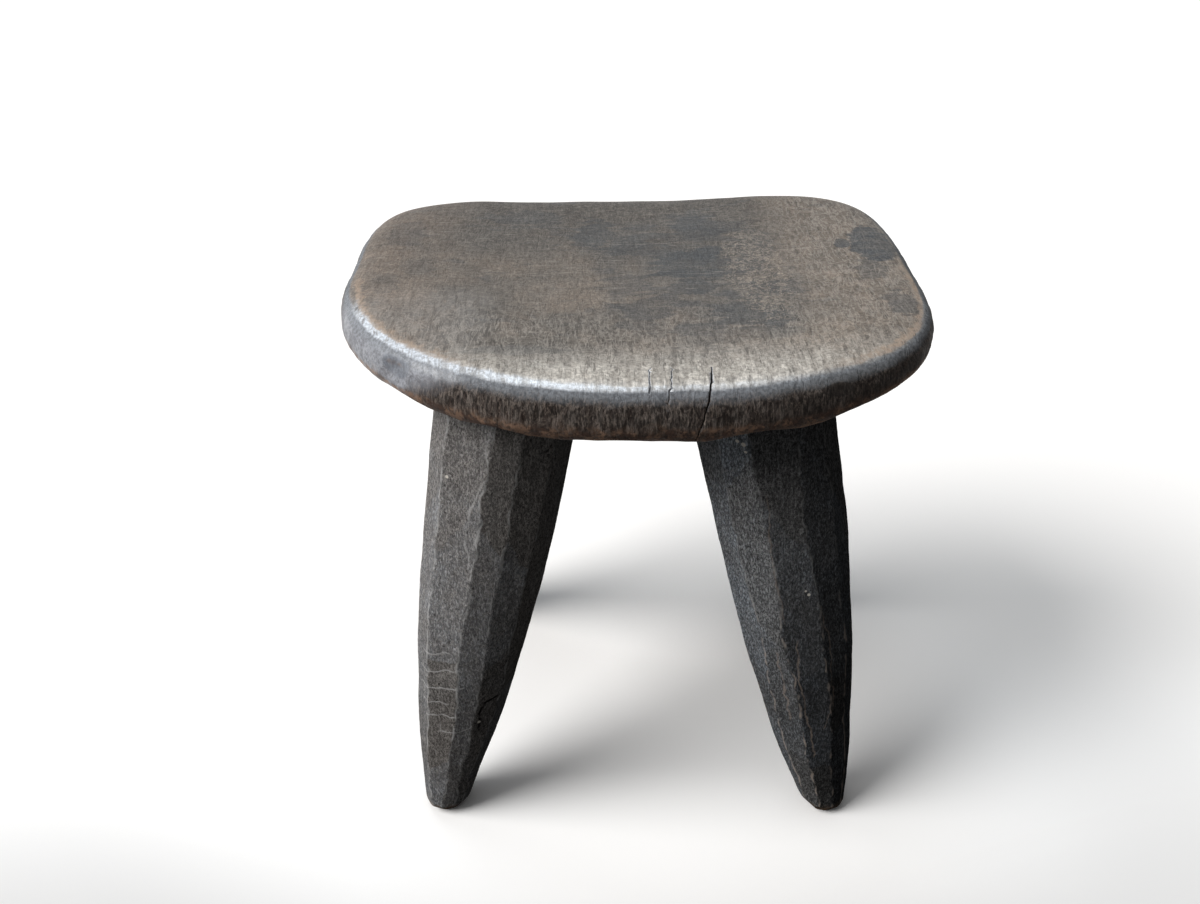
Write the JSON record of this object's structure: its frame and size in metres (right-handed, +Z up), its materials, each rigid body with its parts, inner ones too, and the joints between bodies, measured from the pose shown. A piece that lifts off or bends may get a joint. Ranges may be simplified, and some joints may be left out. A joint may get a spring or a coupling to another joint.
{
  "type": "carved stool",
  "caption": "Low carved wooden stool: a dished, rounded slab seat on splayed tusk legs with adze-cut facets and a worn dark patina.",
  "frame": {"origin": "on the floor, under the middle of the seat's outline", "axes": "+Z up, +X along the seat to the right as seen from the front, front at -Y"},
  "size_m": [0.38, 0.35, 0.3692],
  "materials": {
    "seat_wood": "dark hardwood, hand-worn to a grey-brown satin patina",
    "leg_wood": "blackened hardwood, matt, with adze facets worn pale along their ridges"
  },
  "bodies": {
    "root": {"seat": "seat_wood", "leg_front_left": "leg_wood", "leg_front_right": "leg_wood", "leg_rear_left": "leg_wood", "leg_rear_right": "leg_wood"}
  },
  "joints": []
}
